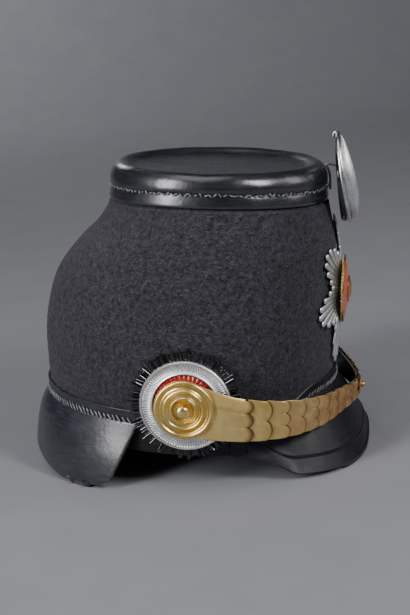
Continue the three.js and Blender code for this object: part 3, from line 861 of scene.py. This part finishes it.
BADGE_AHEAD = 95.7
BADGE_HEIGHT = 204.6
BADGE_TALL = 30.6
BADGE_WIDE = 23
badge_lean = Matrix.Rotation(math.radians(-9.5), 4, "X")
# Drawn about half as many as the real ribs, so that they show.
BADGE_RIBS = 20
RIB_TALL = 1.1


def badge_spot(across, up, out):
    return badge_lean @ Vector((across, -out, up)) + Vector((0, -BADGE_AHEAD, BADGE_HEIGHT))


def oval_place(angle, radius, height):
    across = BADGE_WIDE * radius * math.sin(angle)
    up = BADGE_TALL * radius * math.cos(angle)
    # The back is thin at the top of the badge and thickest at its foot.
    behind = mixed_number(1, 0.3, 0.5 + 0.5 * radius * math.cos(angle)) if height < -1.2 else 1
    return badge_spot(across, up, height * behind)


def black_japan(name):
    """Black japanned metal: a hard gloss with dust and fine scratches."""
    material, shader, place = new_material(name)
    dust = cloudy(material, place, 4, 0.45, 0.8, 4)
    wire_to(material, shader, "Base Color", mixed(material, dust, "050506", "1a1a1d"))
    wire_to(material, shader, "Roughness", ranged(material, dust, 0.12, 0.26))
    bumped(material, shader, dust, 0.05, 0.3)
    shader.inputs["Coat Weight"].default_value = 0.8
    shader.inputs["Coat Roughness"].default_value = 0.06
    return material


japan = black_japan("black_japanned_metal")
back_line = [(0, -4.4), (0.7, -4.6), (0.9, -5.4), (0.97, -5)]
back_line += [(1, -3.6), (1, -1), (0.96, -0.5), (0, -0.5)]
badge_back = turned(back_line, 96, oval_place)
add_piece("badge_back", badge_back, [japan], ["badge_body"])
rim_silver = silver("bright_silver_wire", "b4b5b8", "f0f0f2", 0.2, 6)
badge_rim_line = [
    (1 + 0.05 * math.cos(2 * math.pi * k / 12), 0.5 + 1.6 * math.sin(2 * math.pi * k / 12))
    for k in range(13)
]
rim_mesh = turned(badge_rim_line, 120, oval_place)
add_piece("badge_silver_rim", rim_mesh, [rim_silver], ["badge_rim"])

face_silver = silver("ribbed_silver", "c4c5c8", "f6f6f8", 0.34, 7)


def badge_swell(u, v):
    """The face without its ribs, as a grid that draws together at its two ends."""
    tall = math.sin(math.pi / 2 * (2 * v - 1))
    aside = math.sin(math.pi / 2 * u)
    across = BADGE_WIDE * 0.91 * aside * math.sqrt(max(1 - tall * tall, 0.0004))
    up = BADGE_TALL * 0.92 * tall
    fuller = 0.725 - 0.275 * tall
    swell = 11.4 * fuller * (max(1 - tall * tall, 0) ** 0.42) * math.cos(math.pi / 2 * u) ** 0.75
    return badge_spot(across, up, 0.2 + swell * 0.9)


def badge_rib(u, v):
    ends = smoothstep(v, 0, 0.08) * smoothstep(1 - v, 0, 0.08) * smoothstep(1 - abs(u), 0, 0.05)
    return RIB_TALL * ends * abs(math.cos(math.pi * BADGE_RIBS / 2 * u))


face_mesh = sheet_mesh(240, 64, lifted(badge_swell, badge_rib))
back_edge = [edge for edge in face_mesh.edges if edge.is_boundary]
bmesh.ops.contextual_create(face_mesh, geom=back_edge)
bmesh.ops.recalc_face_normals(face_mesh, faces=face_mesh.faces)
add_piece("badge_ribbed_face", face_mesh, [face_silver], ["badge_face"])


def steel():
    """Drawn steel wire, dulled by handling."""
    material, shader, place = new_material("drawn_steel_wire")
    marks = cloudy(material, place, 2, 0.3, 0.7, 4)
    wire_to(material, shader, "Base Color", mixed(material, marks, "6f6e6a", "a9a8a3"))
    wire_to(material, shader, "Roughness", ranged(material, marks, 0.3, 0.48))
    shader.inputs["Metallic"].default_value = 1
    return material


def add_wire(name, points, radius, material, replaced=()):
    """A round wire through points in the hat's millimetres."""
    line = bpy.data.curves.new(name, "CURVE")
    line.dimensions = "3D"
    line.bevel_depth = radius * MM
    line.bevel_resolution = 3
    line.use_fill_caps = True
    spline = line.splines.new("BEZIER")
    spline.bezier_points.add(len(points) - 1)
    for point, spot in zip(spline.bezier_points, points):
        point.co = hat_place @ Vector(spot)
        point.handle_left_type = "AUTO"
        point.handle_right_type = "AUTO"
    line.materials.append(material)
    wire = bpy.data.objects.new(name, line)
    bpy.context.scene.collection.objects.link(wire)
    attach(wire, "root")
    if replaced:
        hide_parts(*replaced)


steel_wire = steel()
hook_points = [
    (0, -91.5, 212.4),
    (0, -89.2, 212.8),
    (0, -85.8, 213.4),
    (0, -84.1, 212.8),
    (0, -85.2, 210),
    (0, -86.5, 205),
    (0, -86.9, 196),
]
add_wire("badge_wire_hook", hook_points, 0.8, steel_wire, ["badge_hook"])
rim_end_line = [(0, 30.6, 0.6), (0.6, 31.2, -1.2), (1, 30.2, -2.6), (1, 27.6, -3)]
rim_end = [badge_spot(*spot) for spot in rim_end_line]
add_wire("badge_rim_end", rim_end, 0.7, rim_silver)

# ---- cockade ----
# Worn on the right side. Folded petals of black japanned metal stand round a silvered ring with
# fine radial ribs and a bead at both edges, and the middle is ribbed metal under red enamel.

PETALS = 40
# Drawn coarser than the real ribs, so that they show.
RING_RIBS = 104
CENTRE_RIBS = 40


def facing_right(section, steps, ripple=None, side=-1):
    """A turned solid that faces straight out from the side of the hat through the stud."""

    def place(angle, radius, height):
        out = height + (ripple(angle, radius) if ripple else 0)
        up = STUD_HEIGHT + radius * math.cos(angle)
        return Vector((side * out, radius * math.sin(angle), up))

    return turned(section, steps, place)


petals = facing_right(
    [(9, 89.4), (35.5, 89.4), (35.8, 89.9), (35.5, 90.4), (31, 90.6), (9, 90.6), (9, 89.4)], 88
)
# Two layers of petals, each with its height off the hat, its tips' radius and its thickness.
PETAL_LAYERS = [(90.2, 38.2, 1.5), (91.2, 37.4, 2.1)]
PETAL_ROOT = 28.6
for layer, (base, tip_at, tall) in enumerate(PETAL_LAYERS):
    for k in range(PETALS):
        angle = 2 * math.pi * (k + 0.5 * layer + luck.uniform(-0.12, 0.12)) / PETALS
        tip = tip_at + luck.uniform(-2.4, 0.6)
        sway = luck.uniform(-1.2, 1.2)
        raised = luck.uniform(-0.9, 1.1)
        made = bmesh.ops.create_cone(
            petals, cap_ends=True, cap_tris=False, segments=10, radius1=0.55, radius2=1, depth=2
        )
        for vert in made["verts"]:
            x, y, z = vert.co
            radius = PETAL_ROOT if z < 0 else tip
            around = x * (1.5 if z < 0 else 0.95) + (0 if z < 0 else sway)
            out = base + y * tall * (1 if z < 0 else 0.8) + (0 if z < 0 else raised)
            sideways = Vector((math.cos(angle), -math.sin(angle))) * around
            spot = Vector((math.sin(angle), math.cos(angle))) * radius + sideways
            vert.co = Vector((-out, spot.x, STUD_HEIGHT + spot.y))
bmesh.ops.recalc_face_normals(petals, faces=petals.faces)
add_piece("cockade_petals", petals, [japan], ["cockade_outer"])


def ring_ripple(angle, radius):
    band = smoothstep(radius, 23.2, 23.9) * (1 - smoothstep(radius, 28.2, 28.9))
    return -0.9 * band * abs(math.sin(RING_RIBS / 2 * angle)) ** 6


ring_silver = silver("ribbed_ring_silver", "d6d7d9", "fbfbfc", 0.36, 9)
ring_line = [(21.4, 91.3), (30.4, 91.3), (30.8, 92.6), (30.6, 93.6), (30, 94.2), (29.3, 94.1)]
ring_line += [(28.9, 93.6), (28.2, 93.5), (26.4, 93.5), (23.9, 93.6), (23.2, 93.8), (22.9, 94.3)]
ring_line += [(22.2, 94.6), (21.6, 94.3), (21.3, 93.4), (21.4, 91.3)]
ring = facing_right(ring_line, RING_RIBS * 6, ring_ripple)
add_piece("cockade_ribbed_ring", ring, [ring_silver], ["cockade_ring"])


def centre_ripple(angle, radius):
    return 0.5 * abs(math.cos(CENTRE_RIBS / 2 * angle)) * smoothstep(radius, 10, 14)


cockade_red = red_glass("cockade_red_enamel", "8e1210", "d02820")
centre_line = [(9, 91.3), (21, 91.3), (21, 92.4), (20, 92.9), (15, 93.1), (9, 93.3), (9, 91.3)]
centre = facing_right(centre_line, CENTRE_RIBS * 8, centre_ripple)
add_piece("cockade_red_centre", centre, [cockade_red], ["cockade_centre"])

# ---- rosettes and studs ----
# A turned gilt rosette on each side anchors the chin scales: rings that step in to a cup, with a
# round stud standing in it. The left one has no cockade behind it.

rosette_gilt = gilt("turned_gilt_rosette", "e0b65a", "ffe9a6", 0.24, 12)
ROSETTE_LINE = [
    (0, 0),
    (19.2, 0),
    (19.9, 0.6),
    (20.1, 1.6),
    (19.5, 2.8),
    (18.3, 3.3),
    (17.1, 2.8),
    (16.4, 1.6),
    (15.6, 1.2),
    (14.6, 1.9),
    (13.8, 3.4),
    (12.8, 3.9),
    (11.8, 3.3),
    (11.1, 2),
    (10.3, 1.8),
    (9.5, 2.9),
    (8.7, 4.2),
    (7.8, 4.3),
    (7.1, 3.5),
    (6.4, 2.2),
    (5, 1.9),
    (0, 1.9),
]
STUD_LINE = [(0, 1), (1.6, 1), (2, 3), (3.6, 3.6), (4.3, 4.6)]
STUD_LINE += [(4.4, 5.6), (4, 6.7), (3, 7.5), (1.6, 7.9), (0, 8)]
RIGHT_ROSETTE = 99.5
LEFT_ROSETTE = 93.8
for side, side_name, base in ((-1, "right", RIGHT_ROSETTE), (1, "left", LEFT_ROSETTE)):
    rosette = facing_right([(r, base + h) for r, h in ROSETTE_LINE], 96, side=side)
    piece = add_piece(
        "gilt_rosette_" + side_name, rosette, [rosette_gilt], ["rosette_" + side_name]
    )
    stud = facing_right([(r, base + h) for r, h in STUD_LINE], 32, side=side)
    stud_piece = add_piece(
        "gilt_stud_" + side_name, stud, [rosette_gilt], ["stud_" + side_name]
    )
    for smoothed in (piece, stud_piece):
        smoother = smoothed.modifiers.new("smooth", "SUBSURF")
        smoother.levels = 1
        smoother.render_levels = 1

# ---- chin scales ----
# Overlapping gilt plates with round lobes, wired to a black leather strap. They narrow from the
# rosettes to the middle of the front, where the left end laps the right one over a small stud.

STRAP_LINE = [
    (-20, 98.4, 92.4, 67),
    (0, 98.4, 92.4, 67),
    (14, 98.4, 92.4, 64.2),
    (28, 97.6, 92.5, 61.6),
    (43, 94.2, 91.8, 59.6),
    (68, 84.5, 84.5, 59),
    (87, 63.5, 63.5, 57.8),
    (101, 33.5, 33.5, 57),
    (107, 17, 17, 56.2),
    (110.5, 0, 0, 55.7),
    (110, -6, -6, 55.7),
]
BEHIND_STUD = 20
FIRST_START = -17
FIRST_END = 42
LAP_END = 19
SCALES = 9
PLATE = 0.7
LIFT = 1.0
TUCK = 1.4
LOBE = 3.8


def spline_points(points, per_span):
    """Even steps along a centripetal curve through points, with the distance run at each."""
    ends = [2 * points[0] - points[1]] + points + [2 * points[-1] - points[-2]]
    line = []
    for p0, p1, p2, p3 in zip(ends, ends[1:], ends[2:], ends[3:]):
        d0, d1, d2 = ((b - a).length ** 0.5 for a, b in ((p0, p1), (p1, p2), (p2, p3)))
        m1 = ((p1 - p0) / d0 - (p2 - p0) / (d0 + d1) + (p2 - p1) / d1) * d1
        m2 = ((p2 - p1) / d1 - (p3 - p1) / (d1 + d2) + (p3 - p2) / d2) * d1
        for k in range(per_span):
            t = k / per_span
            a, b = 2 * t**3 - 3 * t**2 + 1, t**3 - 2 * t**2 + t
            line.append(p1 * a + m1 * b + p2 * (1 - a) + m2 * (t**3 - t**2))
    line.append(points[-1])
    run = [0]
    for a, b in zip(line, line[1:]):
        run.append(run[-1] + (b - a).length)
    return line, run


def strap_middle(strap, distance):
    line, run = strap
    target = min(max(distance + BEHIND_STUD, 0), run[-1])
    i = next(k for k in range(len(run) - 1) if target <= run[k + 1] or k == len(run) - 2)
    return line[i].lerp(line[i + 1], (target - run[i]) / (run[i + 1] - run[i]))


def strap_outward(strap, side, distance):
    along = strap_middle(strap, distance + 1) - strap_middle(strap, distance - 1)
    return Vector((-side * along.y, side * along.x, 0)).normalized()


def strap_width(distance):
    flare = 8 * (1 - smoothstep(distance, 0, FIRST_END))
    return 29 + flare - 0.136 * max(distance - FIRST_END, 0)


def lobed(lobes, v):
    """How far a lobed end stands out at v, from 0 in the notches to 1."""
    return abs(math.sin(math.pi * lobes * v)) ** 0.55 if lobes else 0


def plate_mesh(strap, side, start, stop, lobes, over=0, rounded=0.0, lift=LIFT, fold=0.0):
    """One plate: u runs along it to its lobed end, v across it. Its front end lies raised.
    over is the number of lobes of the plate that laps over its other end."""

    def along(u, v):
        share = (u + 1) / 2
        return mixed_number(start, stop, share) + LOBE * lobed(lobes, v) * share**2

    def place(u, v):
        share = (u + 1) / 2
        at = along(u, v)
        raised = lift * smoothstep(share, 0.25, 0.8)
        raised += 0.5 * math.sin(math.pi * lobed(lobes, v) / 2) * share**2
        raised -= fold * max(v - 0.76, 0) / 0.24 * smoothstep(share, 0.2, 0.5)
        width = strap_width(mixed_number(start, stop, share))
        if rounded:
            width *= math.sqrt(max(1 - ((1 - min(share / rounded, 1)) ** 2), 0.05))
        spot = strap_middle(strap, at) + strap_outward(strap, side, at) * (raised + PLATE)
        spot.z += (v - 0.5) * width
        return spot

    # How dark each place is: a dark line along this plate's own lobed end, and grime with painted
    # shadow just past the lobes of the plate that laps over it.
    def dirt_and_shadow(u, v):
        own_end = 0.8 * smoothstep((u + 1) / 2, 0.93, 1) if lobes else 0
        if not over:
            return own_end
        past = along(u, v) - (start + TUCK + LOBE * lobed(over, v))
        return max(own_end, 1 - smoothstep(past, 0.2, 1.0))

    columns = int((stop - start) / 0.4)
    mesh = sheet_mesh(columns, max(lobes, 2) * 14, place, dirt_and_shadow)
    if side > 0:
        bmesh.ops.reverse_faces(mesh, faces=mesh.faces)
    return mesh


plate_gilt = gilt("worn_and_shaded_gilt_plate", "d2ad66", "ffe5a4", 0.42, 14, "c08a60", grimy_and_shaded=True)
plate_back = raw_edge("plate_brown_inside", "5b4630")
strap_leather = black_leather("strap_leather", "111114", "1c1c20", 0.4, 0.5, 0.2)
strap_edge = raw_edge("strap_pale_edge", "8a857c")
for side, side_name, column in ((-1, "right", 1), (1, "left", 2)):
    route = [Vector((side * row[column], -row[0], row[3])) for row in STRAP_LINE]
    strap = spline_points(route, 40)
    strap_end = strap[1][-1] - BEHIND_STUD
    lap_start = strap_end - LAP_END
    pitch = (lap_start - FIRST_END) / SCALES
    first = plate_mesh(strap, side, FIRST_START, FIRST_END, 3, rounded=0.3, fold=1.6)
    plates = [("first_scale_", "first_plate_", first)]
    for i in range(SCALES):
        start = FIRST_END + pitch * i
        lobes = 2 if i % 2 == 0 else 3
        mesh = plate_mesh(strap, side, start - TUCK, start + pitch, lobes, over=5 - lobes)
        plates.append((f"scale_{side_name}_{i + 1}", f"gilt_scale_{side_name}_{i + 1}", mesh))
    lap_lift = 1.3 if side_name == "left" else 0
    lap = plate_mesh(strap, side, lap_start - TUCK, strap_end - 0.6, 0, over=2, lift=lap_lift)
    plates.append(("lap_plate_", "lap_end_", lap))
    for node_name, piece_name, mesh in plates:
        suffix = side_name if node_name.endswith("_") else ""
        plate = add_piece(
            piece_name + suffix, mesh, [plate_gilt, plate_back], [node_name + suffix]
        )
        give_wall(plate, PLATE, 0.18, back=1)

    def backing_place(u, v):
        at = mixed_number(-15, strap_end - 11, (u + 1) / 2)
        spot = strap_middle(strap, at) + strap_outward(strap, side, at) * -0.3
        spot.z += (v - 0.52) * 0.94 * strap_width(at) * (1 if at > 0 else 0.75)
        return spot

    backing = sheet_mesh(120, 6, backing_place)
    if side > 0:
        bmesh.ops.reverse_faces(backing, faces=backing.faces)
    backing_piece = add_piece(
        "leather_strap_" + side_name,
        backing,
        [strap_leather, strap_edge],
        ["scale_backing_" + side_name],
    )
    give_wall(backing_piece, 1.2, 0.15, rim=1)

lap_line = [(0, 0), (1.3, 0), (2.1, 1.2), (2, 2), (1.5, 2.9), (0.9, 3.4), (0, 3.6)]
LAP_STUD_AHEAD = 112.3
LAP_STUD_HEIGHT = 55.7


def lap_stud_place(angle, radius, height):
    up = LAP_STUD_HEIGHT + radius * math.cos(angle)
    return Vector((radius * math.sin(angle), -(LAP_STUD_AHEAD + height), up))


lap_stud = turned(lap_line, 24, lap_stud_place)
add_piece("gilt_lap_stud", lap_stud, [bright_gilt], ["lap_stud"])
